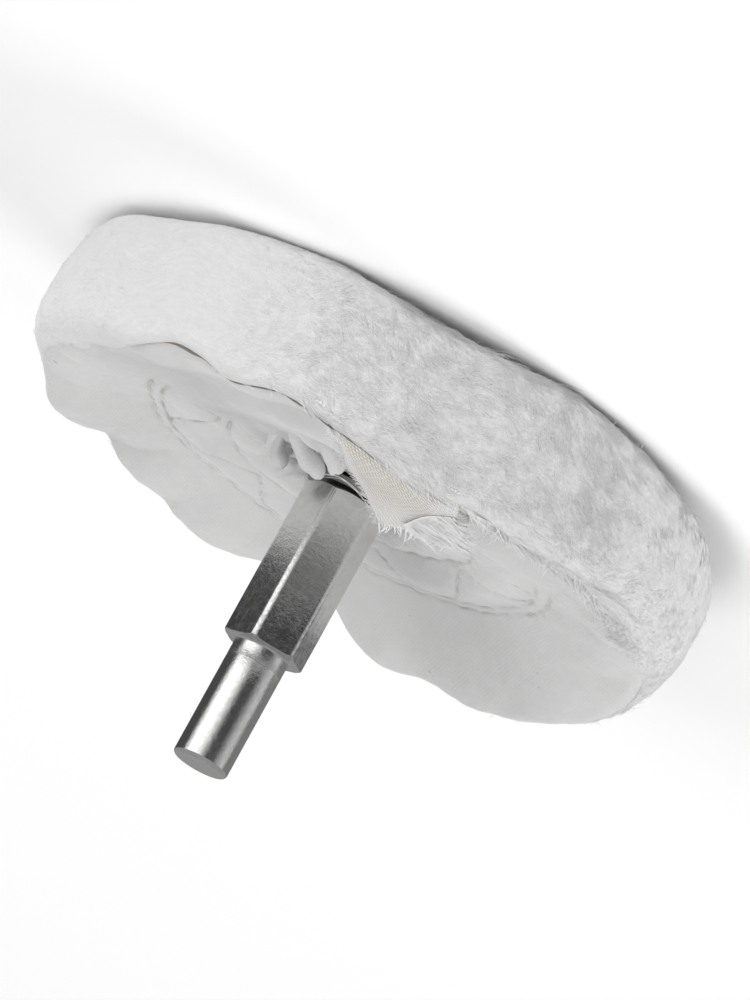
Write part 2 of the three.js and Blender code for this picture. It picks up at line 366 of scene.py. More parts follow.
def plated_steel(name, tone, rough):
    """Bright plating with faint blotches, fine pits and a slightly uneven gloss, and a painted dark
    reflection over half of the hexagon.
    """
    look = Look(bpy.data.materials.new(name))
    place = look.place()
    height = look.parts(place)[2]
    blotches = look.noise(place, 1500, 5, 0.65, 0.5)
    swirl = look.noise(place, 3800, 4, 0.65, 0.7)
    dark = look.between(blotches, 0.4, 0.6, 1.0, 0.0)
    # The plating is patchy over the half of the hexagon next to the shoulder, and its blotches there are
    # painted darker, as a dark reflection.
    painted_reflection_half = look.times(look.between(height, (HEX_END + 9.5) * MM, (HEX_END + 15) * MM),
                      look.between(height, (SHOULDER + 0.1) * MM, (SHOULDER - 0.2) * MM))
    patch = look.times(dark, look.plus(look.times(painted_reflection_half, 0.4), 0.12))
    # Two dull spots on the hexagon, by radius and angle.
    for spot_radius, spot_angle in ((4.6, -40.7), (4.2, -96.3)):
        spot = polar(spot_radius, spot_angle, HEX_END + 16.2) * MM
        away = look.vector("DISTANCE", place, tuple(spot))["Value"]
        patch = look.maths("MAXIMUM", patch, look.between(away, 0.0011, 0.0004, 0.0, 0.65))
    pits = look.plus(look.times(swirl, 0.6), blotches)
    return look.shade(
        Base_Color=look.blend(patch, grey(tone, 0.006), grey(tone * 0.32, 0.01)), Metallic=1.0,
        Roughness=look.between(swirl, 0.3, 0.75, rough * 0.8, rough * 1.7),
        Normal=look.relief(pits, 0.6, 0.00004))


def weave_height(look, cut, pitch):
    """Plain weave on the cut's own coordinates: threads one way and the other, over and under by turns."""
    threads = look.parts(look.drifted(cut, 0.12, 2.0, 1.0))
    across, along = (look.maths("SINE", look.times(threads[k], math.pi / pitch)) for k in (0, 1))
    ridge = look.maths("MINIMUM", look.maths("ABSOLUTE", across), look.maths("ABSOLUTE", along))
    return look.plus(look.times(ridge, 0.8), look.times(look.times(across, along), 0.25))


def cotton(name, tone, warmth, pitch=0.34, weave=1.0, edged=False):
    """Woven cotton: thread relief, painted shade in the gaps between threads, thick and thin threads, stray
    flecks and a soft sheen.
    """
    look = Look(bpy.data.materials.new(name))
    place = look.place()
    cut = look.attribute("cut", "Vector")
    height = weave_height(look, cut, pitch)
    # The gaps between the threads are painted darker, as shade.
    gap_shade = look.between(height, 0.0, 0.5, min(0.26 * weave, 0.9), 0.0)
    slubs = look.between(look.noise(cut, 0.55, 4, 0.6), 0.35, 0.7, 0.0, 0.06)
    cloud = look.noise(place, 160, 3, 0.5)
    base = look.blend(cloud, grey(tone * 1.03, warmth * 0.7), grey(tone * 0.97, warmth * 1.3))
    colour = look.blend(look.plus(gap_shade, slubs), base, grey(tone * 0.42, warmth * 2.0))
    flecks = look.between(look.noise(place, 620, 2, 0.5), 0.765, 0.79, 0.0, 0.7)
    colour = look.blend(flecks, colour, grey(0.16, 0.1))
    # Painted shade along narrow lines: the stitching's sunk lines, and the lining's edge under the cover's
    # lip.
    colour = look.blend(look.attribute("painted_shade_line"), colour, grey(tone * 0.5, 0.03))
    if edged:
        whitened = look.blend(look.times(gap_shade, 0.45), grey(0.66, 0.004), grey(0.3, 0.02))
        colour = look.blend(look.attribute("edge"), colour, whitened)
    lint = look.noise(place, 2600, 4, 0.7)
    total = look.plus(look.times(height, weave), look.times(lint, 0.5))
    return look.shade(Base_Color=colour, Roughness=0.95, Specular_IOR_Level=0.12, Sheen_Weight=0.4,
                      Sheen_Roughness=0.6, Normal=look.relief(total, 0.55, 0.00012))


def napped(name, tone):
    """Brushed flannel under its raised nap: faint streaks the way it is combed, and darker patches,
    strongest where the nap is loose, painted as the shade beneath its hairs.
    """
    look = Look(bpy.data.materials.new(name))
    place = look.place()
    comb = look.drifted(look.attribute("comb", "Vector"), 0.16, 3.0, 4.0)
    streak = look.noise(look.vector("MULTIPLY", comb, (0.45, 0.45, 3.4))[0], 1.0, 4, 0.6)
    # Darker patches, most where the nap is loose: painted shade beneath the hairs.
    shade_patches = look.between(look.noise(place, 900, 5, 0.7, 0.5), 0.62, 0.36)
    fine = look.noise(place, 2600, 4, 0.7, 0.4)
    painted_nap_shade = look.times(shade_patches, look.between(look.attribute("loose"), 0.0, 1.0, 0.15, 1.0))
    pale = look.between(look.plus(streak, look.times(fine, 0.5)), 0.5, 1.0)
    colour = look.blend(pale, grey(tone * 0.93, 0.002), grey(tone * 1.05, -0.002))
    colour = look.blend(look.times(painted_nap_shade, 0.45), colour, grey(tone * 0.55, 0.01))
    total = look.plus(streak, look.times(fine, 0.6))
    return look.shade(Base_Color=colour, Roughness=1.0, Specular_IOR_Level=0.08, Sheen_Weight=0.5,
                      Sheen_Roughness=0.7, Normal=look.relief(total, 0.5, 0.00022))


def fibre(name, tone, warmth=0.0):
    """Loose cotton fibres, each tuft a little lighter or darker than the next."""
    look = Look(bpy.data.materials.new(name))
    tuft = look.noise(look.place(), 700, 3, 0.6)
    colour = look.blend(tuft, grey(tone * 0.97, warmth), grey(tone * 1.03, warmth))
    return look.shade(Base_Color=colour, Roughness=0.9, Specular_IOR_Level=0.15, Sheen_Weight=0.3)


STEEL = plated_steel("plated_steel", 0.8, 0.12)
SPRING_STEEL = plated_steel("spring_steel", 0.34, 0.3)
FLANNEL = napped("flannel", 0.54)
NAP = fibre("nap", 0.66)
COTTON = cotton("cotton", 0.54, 0.01)
BACK_COTTON = cotton("back_cotton", 0.5, 0.003, weave=0.42)
LINING_COTTON = cotton("lining_cotton", 0.64, 0.05, pitch=0.42, weave=3.4, edged=True)
THREAD = fibre("thread", 0.5, 0.004)
FRAY = fibre("frayed_thread", 0.7, 0.002)
# A dark fibre tone for the crease's painted shade.
CREASE_SHADE = fibre("painted_crease_shade", 0.13, 0.09)


# ---- camera, light and floor

# The view's angles in degrees, and its distance and the height it takes in, in metres.
VIEW_AZIMUTH = 9.7
VIEW_ELEVATION = 14.0
VIEW_ROLL = -151.07
VIEW_DISTANCE = 1.0
VIEW_HEIGHT = 0.1008
VIEW_TARGET = np.array([-2.47, -0.79, HEX_END - 1.45]) * MM
SENSOR = 36.0
LIGHT_DISTANCE = 3.4
LIGHT_SIZE = 2.35
# Each soft light: its name, azimuth and elevation in degrees, and power in watts.
LIGHTS = [("key", -40, 12, 67.0), ("front", -70, 35, 37.0), ("fill", -140, 12, 25.0),
          ("rear", 163, 17, 74.0), ("top", 0, 80, 32.0)]
FLOOR_HALF = 4.0
FLOOR_DROP = 0.0005


def place_camera():
    a, e, k = (math.radians(x) for x in (VIEW_AZIMUTH, VIEW_ELEVATION, VIEW_ROLL))
    back = np.array([math.sin(a) * math.cos(e), -math.cos(a) * math.cos(e), math.sin(e)])
    level = np.array([math.cos(a), math.sin(a), 0.0])
    up = np.cross(back, level)
    right = math.cos(k) * level + math.sin(k) * up
    top = -math.sin(k) * level + math.cos(k) * up
    spot = VIEW_TARGET + back * VIEW_DISTANCE
    data = bpy.data.cameras.new("camera")
    camera = add_object("camera", data)
    camera.matrix_world = Matrix(((*right, 0), (*top, 0), (*back, 0), (*spot, 1))).transposed()
    data.sensor_fit = "VERTICAL"
    data.sensor_height = SENSOR
    data.lens = SENSOR * VIEW_DISTANCE / VIEW_HEIGHT
    data.clip_start = 0.05
    data.clip_end = 20.0
    bpy.context.scene.camera = camera


def studio_world():
    """A soft studio: below the horizon a white card, a dark room and grey walls, and above it plain grey."""
    world = bpy.data.worlds.new("studio")
    bpy.context.scene.world = world
    look = Look(world, "Background")
    parts = look.parts(look.node("TexCoord", {})["Generated"])
    turn = look.maths("ARCTAN2", parts[1], parts[0])
    card = look.window(turn, (-85, -43), (12, -10))
    room = look.window(turn, (-152, -118), (120, 100))
    side = look.window(turn, (-178, -172), (110, 100))
    low = look.blend(side, grey(0.22), grey(0.58))
    low = look.blend(room, low, grey(0.075))
    low = look.blend(card, low, grey(1.5))
    colour = look.blend(look.between(parts[2], -0.04, 0.06), low, grey(0.33))
    look.shade(Color=colour, Strength=1.0)


def pale_floor():
    look = Look(bpy.data.materials.new("floor"))
    tint = look.noise(look.place(), 6, 2)
    material = look.shade(Base_Color=look.blend(tint, grey(0.96), grey(0.97)), Roughness=1.0,
                          Specular_IOR_Level=0.0)
    mesh = bpy.data.meshes.new("floor")
    corners = [(x * FLOOR_HALF, y * FLOOR_HALF, 0) for x, y in ((-1, -1), (1, -1), (1, 1), (-1, 1))]
    mesh.from_pydata(corners, [], [(0, 1, 2, 3)])
    mesh.materials.append(material)
    floor = add_object("floor", mesh)
    floor.location.z = -FLOOR_DROP
    floor.visible_glossy = False


def soft_light(name, azimuth, elevation, power):
    data = bpy.data.lights.new(name, "AREA")
    data.shape = "DISK"
    data.size = LIGHT_SIZE
    data.energy = power
    light = add_object(name, data)
    a, e = math.radians(azimuth), math.radians(elevation)
    way = Vector((math.cos(a) * math.cos(e), math.sin(a) * math.cos(e), math.sin(e)))
    light.location = way * LIGHT_DISTANCE
    light.rotation_euler = way.to_track_quat("Z", "Y").to_euler()
    light.visible_glossy = False


place_camera()
studio_world()
pale_floor()
for light in LIGHTS:
    soft_light(*light)
bpy.context.scene.view_settings.view_transform = "Standard"


# ---- arbor and clamping set

def hexagon_radius(angle):
    """The hexagon's radius by angle in degrees, with flats square to Y and rounded corners."""
    from_flat = turn_between(np.asarray(angle) % 60, 30)
    flat = HEX_APOTHEM / np.cos(rad(from_flat))
    from_corner = rad(30 - np.abs(from_flat))
    corner = HEX_CORNER_ROUNDING
    centre = (HEX_APOTHEM - corner) / math.cos(math.radians(30))
    inside = np.maximum(corner**2 - (centre * np.sin(from_corner)) ** 2, 0)
    arc = centre * np.cos(from_corner) + np.sqrt(inside)
    return np.where(centre * np.sin(from_corner) < corner / 2, np.minimum(flat, arc), flat)


def soft_least(a, b, blend):
    share = np.clip(0.5 + 0.5 * (b - a) / blend, 0, 1)
    return mix(b, a, share) - blend * share * (1 - share)


def build_arbor():
    """Rings of (radius, height) from the tapped bore, over the hexagon and down the shank to its end."""
    angles = circle(TURNED_SIDES)
    hexagon = hexagon_radius(angles)
    cone = math.tan(math.radians(60))
    bore = TAPPED_RADIUS
    start = [(AXIS_RADIUS, TAPPED_DEPTH + 1.5), (bore, TAPPED_DEPTH), (bore, 0.3), (bore + 0.25, 0.02),
             (bore + 0.3, 0), (3.86, 0), (3.93, 0.015)]
    rings = [(r, HEX_END + rise) for r, rise in start]
    for rise in [*np.linspace(0.04, 0.62, 22), 0.8, 1.2]:
        rings.append((soft_least(hexagon, 3.95 + rise * cone, 0.04), HEX_END + rise))
    for share in np.linspace(0.1, 0.9, 9):
        rings.append((hexagon, mix(HEX_END, SHOULDER, share)))
    for drop in [1.2, 0.8, *np.linspace(0.6, 0.02, 22)]:
        rounding = 4.04 + 0.75 * np.sqrt(np.clip(drop, 0, 0.5) / 0.5)
        rings.append((soft_least(hexagon, rounding, 0.05), SHOULDER - drop))
    rings += [(3.98, SHOULDER), (3.3, SHOULDER), (3.08, SHOULDER + 0.03), (3.01, SHOULDER + 0.12)]
    # A fine turned line runs round the shank next to the shoulder.
    for inset, rise in ((0, 0.3), (0, 1.84), (0.015, 1.88), (0.015, 1.93), (0, 1.97)):
        rings.append((SHANK_RADIUS - inset, SHOULDER + rise))
    for share in (0.4, 0.7):
        rings.append((SHANK_RADIUS, mix(SHOULDER, SHANK_END, share)))
    tip = SHANK_TIP_ROUNDING
    for turn in np.linspace(0, 90, 10):
        inset = tip * (1 - math.cos(math.radians(turn)))
        rings.append((SHANK_RADIUS - inset, SHANK_END - tip + tip * math.sin(math.radians(turn))))
    rings += [(r, SHANK_END) for r in (2.0, 1.0, AXIS_RADIUS)]
    points = [polar(r, angles, z) for r, z in rings]
    add_piece("arbor_skin", points, capped_faces(len(rings), TURNED_SIDES), STEEL, ["arbor"])


def build_screw():
    """A pan head with a cross recess, and its shaft up into the arbor."""
    low, high = cad_box("clamp_screw")
    sides = 192
    angles = circle(sides)
    head, shaft, top = high[0], 2.5, low[2] + 1.9
    flat_part, recess_depth = 3.4, 1.2
    rings = []
    for r in [AXIS_RADIUS, *np.linspace(0.1, flat_part, 34)]:
        x, y = np.abs(polar(r, angles, 0.0))[:, :2].T
        arms = [np.clip((0.55 - b) / 0.12, 0, 1) * np.clip((2.3 - a) / 0.5, 0, 1)
                for a, b in ((x, y), (y, x))]
        rings.append(polar(r, angles, low[2] + recess_depth * np.maximum(*arms) + 0.02 * r**2 * 0.2))
    for turn in np.linspace(0, 90, 9):
        r = mix(flat_part, head, math.sin(math.radians(turn)))
        rings.append(polar(r, angles, low[2] + 0.05 + 0.95 * (1 - math.cos(math.radians(turn)))))
    for r, z in ((head, top - 0.1), (head - 0.1, top), (2.6, top), (shaft, top + 0.1),
                 (shaft, high[2] - 0.5), (2.0, high[2]), (AXIS_RADIUS, high[2])):
        rings.append(polar(r, angles, z))
    add_piece("screw_skin", rings, capped_faces(len(rings), sides), STEEL, ["clamp_screw"])


def build_lock_washer():
    """One turn of square spring wire, split, with its ends sprung a little apart."""
    low, high = cad_box("lock_washer")
    gap, spring, steps = 12.0, 0.2, 200
    r, z = rounded_loop(WASHER_BORE, high[0], 0, high[2] - low[2] - spring, 0.14)
    share = np.linspace(0, 1, steps)[:, None]
    angles = -150 + gap / 2 + share * (360 - gap)
    points = polar(r, angles, z + (low[2] + spring * (1 - share)))
    faces = turned_over(capped_faces(steps, len(r)))
    add_piece("lock_washer_skin", points, faces, SPRING_STEEL, ["lock_washer"])


def build_washer(name, cad_node, rounding, sides=160):
    low, high = cad_box(cad_node)
    r, z = rounded_loop(WASHER_BORE, high[0], low[2], high[2], rounding)
    faces = turned_over([grid_faces(sides, len(r), wrap_rows=True, wrap_columns=True)])
    add_piece(name, polar(r, circle(sides)[:, None], z), faces, STEEL, [cad_node])


build_arbor()
build_screw()
build_lock_washer()
build_washer("front_washer_skin", "front_washer", 0.15)
build_washer("back_washer_skin", "back_washer", 0.18)


# ---- the cloth's shape

# How far the rim's back edge stands above the hexagon's end, by angle.
back_rise = round_curve([
    (8, 0.4), (20, 0.7), (29, 1.4), (36, 2.5), (42, 2.0), (48, 0.5), (53, 0.3), (60, 1.7), (71, 1.9),
    (78, 2.9), (87, 2.6), (94, 1.2), (103, 0.4), (109, 3.0), (118, 5.3), (127, 4.8), (137, 6.0), (147, 5.9),
    (156, 5.2), (164, 4.8), (172, 3.6), (182, 1.4), (195, 0.6), (210, 0.2), (227, 0.8), (243, 1.8),
    (256, 2.5), (262, 3.1), (267, 3.6), (273, 3.9), (284, 2.9), (298, 1.7), (307, 2.5), (313, 1.4),
    (319, 0.9), (329, 2.2), (337, 1.5), (347, 0.9), (358, 0.4),
])

# The level of the rim's front edge, by angle.
front_edge = round_curve([
    (15, 1.6), (-5, 0.7), (-13, 0.3), (-22, 0.6), (-31, 0.7), (-40, 0.2), (-50, -0.2), (-60, -0.1),
    (-68, 0.4), (-76, 0.9), (-90, 0.9), (-98, 0.4), (-104, -0.2), (-109, -0.1), (-116, 0.2), (-124, 0.3),
    (-131, 0.6), (-140, 1.3), (-151, 2.6), (-163, 3.4), (180, 3.6), (150, 1.8), (120, 0.6), (80, 0.2),
    (45, 1.0),
])


def rim_radius(angle):
    """The distance from the spindle out to the rim. The mop sits a little to one side on its arbor."""
    return MOP_RADIUS - RIM_INSET - MOP_SHIFT * np.cos(rad(angle - 10))


def near_side(angle):
    """1 where the cover turns in over the back ply with a crease, and 0 where they run on smoothly."""
    return ramp(turn_between(angle, 0), -111, -96) * (1 - ramp(turn_between(angle, 0), -36, -16))


def far_side(angle):
    """1 along the rim's far half, where the nap stops short of the back face."""
    return 1 - ramp(np.abs(turn_between(angle, 100)), 70, 105)


def pocket(angle):
    """1 where the cover's lip is drawn back and bares the lining."""
    return bump_round(angle, 261.5, 5.0)


def front_level(r, angle):
    flat = hermite(r, [HUB_HOLE, 10.4, 14, 18.5, 23, 29.5, 34.5, 37.5],
                   [4.4, 4.4, 2.1, 0.9, 1.0, 0.35, 0.1, 0.1])
    return flat + front_edge(angle) * ramp(r, 26, 37)


def back_level(r, angle):
    flat = hermite(r, [HUB_HOLE, 5.2, 7.2, 10.3, 14, 18.5, 23, 29.5, 35.5, 37.5],
                   [-2.5, -2.5, -2.0, -1.0, -0.8, 0.1, -0.5, 0.3, 0.0, 0.0])
    return HEX_END + flat + back_rise(angle) * ramp(r, 21, 36)


def cover_profile(angle, samples):
    """The cover's section at each angle: along the front, round the front corner, up the rim to its lip."""
    angle = angle[:, None]
    bottom = front_level(36.0, angle)
    top = HEX_END + back_rise(angle)
    near = near_side(angle)
    r = rim_radius(angle)
    zero = np.zeros_like(angle)
    bare = pocket(angle)
    far = far_side(angle)
    lip = r - mix(8.0, 2.4 - 1.3 * bare, near)
    tucked = mix(0.3, -0.75, far)
    stations = [
        *((x + zero, front_level(x, angle)) for x in (HUB_HOLE, 10.4, INNER_RING, 18.5, OUTER_RING, 29)),
        (33.0 + zero, front_level(33.0, angle) - 0.1),
        (r - 1.6, bottom),
        (r - 0.5, bottom + 0.8),
        (r - 0.05, bottom + 2.4),
        (r + 0.1, mix(bottom, top, 0.5)),
        (r - 0.05, top - 3.0),
        (r - mix(0.5, 0.4, near), top - 1.3),
        (r - mix(1.5, 1.1 - 0.4 * bare, near), top - mix(mix(0.3, 0.7, far), 0.2, near)),
        (r - mix(3.0, 1.8 - 1.0 * bare, near), mix(back_level(r - 3.0, angle) + tucked, top + 0.05, near)),
        (lip, mix(back_level(lip, angle) + mix(-0.35, -0.75, far), top - 0.4, near)),
    ]
    rs, zs = (np.concatenate(column, axis=1) for column in zip(*stations))
    steps = np.hypot(np.diff(rs, axis=1), np.diff(zs, axis=1))
    along = np.concatenate([zero, np.cumsum(steps, axis=1)], axis=1)
    mean = along.mean(axis=0)
    places = mean[-1] * samples
    rows_r = np.array([hermite(places, mean, row) for row in rs])
    rows_z = np.array([hermite(places, mean, row) for row in zs])
    return rows_r, rows_z, places


# The front face's relief, as (height, size, seed).
FRONT_LUMPS = [(0.22, 8, 34), (0.1, 2.6, 35)]


def cover_surface(angle, samples):
    r, z, along = cover_profile(angle, samples)
    points = polar(r, angle[:, None], z)
    on_rim = ramp(r, 30, 36)
    swell = lumps(points, (0.33, 9, 31), (0.06, 3.2, 32), (0.03, 1.2, 33))
    points = points + polar(1.0, angle, 0.0)[:, None] * (swell * on_rim)[..., None]
    points[..., 2] += lumps(points, *FRONT_LUMPS) * (1 - on_rim) * ramp(r, 11, 15)
    return points, along


# Fingers of cloth squeezed out round the washer, each from its outer end to the end by the washer:
# (angle, radius, rise) of the two ends, and the half thickness. The first three stand up, and the
# others stay sunk in the back face.
FINGERS = [
    ((-32, 11.9, -1.9), (-5, 7.3, 0.4), 1.0), ((-46, 13.9, -2.0), (-50, 7.1, 0.7), 0.85),
    ((-61, 14.9, -2.1), (-64, 9.8, 0.1), 0.9),
    ((18, 12.4, -2.2), (15, 6.9, -2.1), 0.95), ((40, 13.4, -2.1), (35, 6.9, -1.9), 1.05),
    ((62, 12.6, -1.9), (60, 6.9, -2.0), 0.95), ((84, 13.8, -2.0), (81, 6.9, -1.9), 1.05),
    ((106, 12.6, -2.0), (108, 6.9, -2.0), 0.95), ((129, 13.6, -2.0), (128, 6.9, -1.9), 1.05),
    ((152, 12.6, -2.0), (155, 6.9, -2.0), 0.95), ((176, 13.4, -2.0), (178, 6.9, -1.9), 1.0),
    ((201, 12.6, -2.0), (202, 7.1, -1.9), 0.95), ((226, 12.8, -2.1), (229, 7.8, -2.0), 0.9),
]


def build_fingers():
    """Rounded folds of the back cloth that stand up round the washer and sink into the face further out."""
    rings, sides = 26, 20
    t = np.linspace(0, 1, rings)
    turn = (np.arange(sides) * 2 * math.pi / sides)[None, :, None]
    from_dent = (turn - math.pi / 2 - 0.3 + math.pi) % (2 * math.pi) - math.pi
    dent = 1 - 0.2 * np.exp(-(from_dent / 0.28) ** 2)
    blunt = np.clip(1 - (np.maximum(t - 0.84, 0) / 0.16) ** 2, 0, 1)
    points, faces = [], []
    for number, (outer, inner, half) in enumerate(FINGERS):
        angle, r, rise = (mix(float(o), i, t) for o, i in zip(outer, inner))
        spine = polar(r, angle + 4 * np.sin(t * 3 + number), HEX_END + rise + 0.35 * np.sin(math.pi * t))
        girth = np.maximum(half * np.clip(t * 3.6 + 0.04, 0, 1) ** 0.5 * np.sqrt(blunt), 0.03)[:, None, None]
        way = unit(np.gradient(spine, axis=0))
        across = unit(np.cross(way, UP))
        up = np.cross(across, way)
        ring = 0.92 * np.cos(turn) * across[:, None] + 1.15 * np.sin(turn) * up[:, None]
        tube = spine[:, None] + girth * dent * ring
        swell = lumps(tube, (0.16, 2.2, 150 + number), (0.07, 0.9, 170 + number))
        points.append(tube + swell[..., None] * up[:, None])
        faces.append(grid_faces(rings, sides, wrap_columns=True)[:, ::-1] + number * rings * sides)
    piece = add_piece("hub_folds", points, faces, BACK_COTTON)
    store(piece, "cut", np.array(points) * (1.3, 1.3, 0))
    return piece


def petal_radius(angle):
    return PETAL_RING + PETAL_REACH * np.cos(rad(PETALS * (angle - 190)))


def stitch_show(angle):
    """How clearly the stitching marks the back face, which the nap smooths over towards the near side."""
    return 1 - 0.95 * ramp(np.abs(turn_between(angle, 100)), 88, 112)


def stitch_pull(r, angle):
    """How deep the stitching draws the cloth in, from 0 to 1, at a place on the back face."""
    depth = np.zeros(np.broadcast(r, angle).shape)
    rows = ((INNER_RING, 0.8), (OUTER_RING, 1.0), (SECOND_OUTER_RING, 0.8), (petal_radius(angle), 0.8))
    for centre, share in rows:
        tug = 0.75 + 0.25 * np.cos(rad(angle) * centre * 2 * math.pi / (STITCH_LENGTH + STITCH_GAP))
        wide, narrow = bump_at(r, centre, 1.3), bump_at(r, centre, 0.3)
        depth = np.maximum(depth, share * tug * (0.55 * wide + 0.45 * narrow))
    return depth * stitch_show(angle)


def stitch_groove_shade(r, angle):
    """1 in the narrow sunk line that each row of stitches makes, and 0 away from it: where the back cloth
    gets its painted shade.
    """
    line = np.zeros(np.broadcast(r, angle).shape)
    for centre in (INNER_RING, OUTER_RING, SECOND_OUTER_RING, petal_radius(angle)):
        line = np.maximum(line, bump_at(r, centre, 0.2))
    uneven = np.clip(0.5 + 0.8 * wobble(polar(r, angle, 0.0), 1.7, 47), 0.05, 1)
    return line * uneven * stitch_show(angle)


def back_surface(r, angle):
    """The back face: dished at the hub, drawn in at the stitching, and rising to the rim's waves."""
    z = back_level(r, angle)
    points = polar(r, angle, z)
    soft = ramp(r, 8, 12)
    z = z - 0.5 * stitch_pull(r, angle) * soft
    z = z + soft * lumps(points, (0.2, 7, 41), (0.09, 2.8, 42), (0.04, 1.3, 43))
    rays = np.abs(np.sin(rad(angle * 13 + 40 * np.sin(rad(angle * 3))))) ** 0.5
    z = z + 0.22 * (rays - 0.7) * ramp(r, 23.5, 27) * (1 - ramp(r, 32, 36)) * (1 - near_side(angle))
    z = z + 0.16 * np.cos(rad(angle * 14 + 12 * np.sin(rad(angle * 2)))) * bump_at(r, 10.5, 3.0)
    return polar(r, angle, z)


def build_cover():
    angles = circle(TURNED_SIDES)[:, None]
    points, along = cover_surface(angles[:, 0], np.linspace(0, 1, PLY_ROWS))
    flat_r = HUB_HOLE + np.broadcast_to(along, points.shape[:2])
    piece = add_ply("cover", points, flat_r, angles, FLANNEL, "cover_ply", COVER_THICKNESS, flipped=True)
    store(piece, "comb", np.dstack([points[..., :2], flat_r]))
    store(piece, "loose", np.broadcast_to(1 - smoothness(angles), points.shape[:2]))
    return piece, 2 * (HUB_HOLE + along[-1])


def build_back(sides=640):
    angles = circle(sides)[:, None]
    share = np.concatenate([np.linspace(0, 0.26, 34, endpoint=False),
                            np.linspace(0.26, 0.64, 66, endpoint=False), np.linspace(0.64, 1, 34)])
    near, far = near_side(angles), far_side(angles)
    edge = rim_radius(angles) - mix(mix(3.6, 1.1, far), 2.0, near)
    r = INNER_DISC_HOLE + (edge - INNER_DISC_HOLE) * share[None]
    points = back_surface(r, angles)
    # The edge is tucked down under the cover's lip, by a different amount on each part of the rim.
    points[..., 2] -= near * (0.3 * ramp(r, 32.0, 33.6) + 0.9 * ramp(r, 33.6, 35.2))
    points[..., 2] -= far * 0.55 * np.clip((r - edge + 1.3) / 1.3, 0, 1) ** 2
    points[..., 2] -= (1 - near) * (1 - far) * 0.5 * ramp(r, edge - 1.2, edge)
    piece = add_ply("back_cloth", points, r * 1.02, angles, BACK_COTTON, "back_ply", BACK_THICKNESS)
    # Painted shade in the stitching's sunk lines.
    store(piece, "painted_shade_line", stitch_groove_shade(r, angles))
    return piece


def build_inner(number):
    """A loose disc of the stack, between the lining and the back ply."""
    sides, rows = 96, 20
    r = np.linspace(INNER_DISC_HOLE, MOP_RADIUS - 2.6 - 0.3 * abs(number - 4.5) / 4.5, rows)[None]
    angles = np.broadcast_to(circle(sides)[:, None], (sides, rows))
    low = front_level(r, angles) + 0.5
    high = back_level(r, angles) - 0.9 * ramp(r, 8, 12) - 0.3
    points = polar(r, angles, mix(low, high, (number + 1.0) / 11))
    points[..., 2] += 0.1 * wobble(points, 6, 60 + number) * ramp(r, 12, 20)
    name, cad_node = f"inner_cloth_{number}", f"inner_ply_{number}"
    return add_ply(name, points, r, angles, COTTON, cad_node, INNER_THICKNESS)


def build_lining():
    """The lining lies inside the cover. Its edge shows as a thin line under the cover's lip, painted dark as
    the crease's shade.
    """
    angles = circle(TURNED_SIDES)
    points, along = cover_surface(angles, np.linspace(0, 0.985, PLY_ROWS))
    r = np.hypot(points[..., 0], points[..., 1])
    inset = 0.64
    over_back = points[..., 2] - HEX_END - back_rise(angles)[:, None]
    out = ramp(points[..., 2], 3, 6) * ramp(r, 33.0, 35.5) * (1 - ramp(over_back, -1.6, -0.3))
    lower = points[..., 2] < HEX_END / 2
    points[..., :2] *= (1 - inset * out / np.maximum(r, 1))[..., None]
    points[..., 2] += np.where(lower, inset, -(inset + 0.1) * ramp(over_back, -2.2, -0.2))
    near, bare = near_side(angles)[:, None], pocket(angles)[:, None]
    tip = np.linspace(0, 1, PLY_ROWS)[None] ** 14
    reach = near * (0.75 + 1.9 * bare) + (near - 1) * 0.8
    points -= polar(1.0, angles, 0.0)[:, None] * (reach * tip)[..., None]
    points[..., 2] += near * (0.74 + 0.7 * bare) * tip**0.5
    piece = add_ply("lining", points, HUB_HOLE + along, angles[:, None], LINING_COTTON, "lining_ply",
                    LINING_THICKNESS, flipped=True)
    # The edge under the lip is painted dark, as the shade in the crease.
    store(piece, "painted_shade_line", 0.75 * tip * (1 - bare))
    return piece, 2 * (HUB_HOLE + along[-1])


# The flap's two sides as (radius, angle, height above the hexagon's end), from the crease to the free edge.
FLAP_LEFT = [(36.0, 291.3, 1.9), (32.6, 284.3, 4.0), (29.5, 279.3, 4.75), (26.6, 273.9, 5.6),
             (24.4, 269.8, 6.2)]
FLAP_RIGHT = [(36.0, 264.0, 3.3), (34.0, 262.6, 4.2), (32.0, 260.9, 4.5), (30.0, 259.0, 4.7),
              (28.1, 257.0, 4.85)]


def flap_point(a, b):
    """A place on the flap: a runs along the crease from left to right, b from there to the free edge."""
    a, b = np.broadcast_arrays(np.asarray(a, float), np.asarray(b, float))
    places = np.linspace(0, 1, len(FLAP_LEFT))
    sides = []
    for points in (FLAP_LEFT, FLAP_RIGHT):
        sides.append([hermite(np.clip(b, 0, 1), places, column) for column in np.array(points).T])
    (r0, t0, h0), (r1, t1, h1) = sides
    r, angle, rise = mix(r0, r1, a), mix(t0, t1, a), mix(h0, h1, a)
    past = np.maximum(b - 1, 0)
    r = r - 9 * past
    belly = 0.45 * np.sin(math.pi * np.clip(a, 0, 1)) * np.sin(math.pi * np.clip(b, 0, 1) * 0.9)
    rise = rise + 2 * past + belly
    rise = mix(rise, back_rise(angle) - 0.75, 1 - ramp(b, 0.0, 0.2))
    return polar(r, angle, HEX_END + rise)


def flap_frame(a, b, step=0.01):
    """The flap's own directions: along the crease, towards the free edge, and outward."""
    side = unit(flap_point(a + step, b) - flap_point(a - step, b))
    down = unit(flap_point(a, b + step) - flap_point(a, b - step))
    normal = unit(np.cross(side, down))
    return side, down, normal * np.sign(normal[..., 2:3])


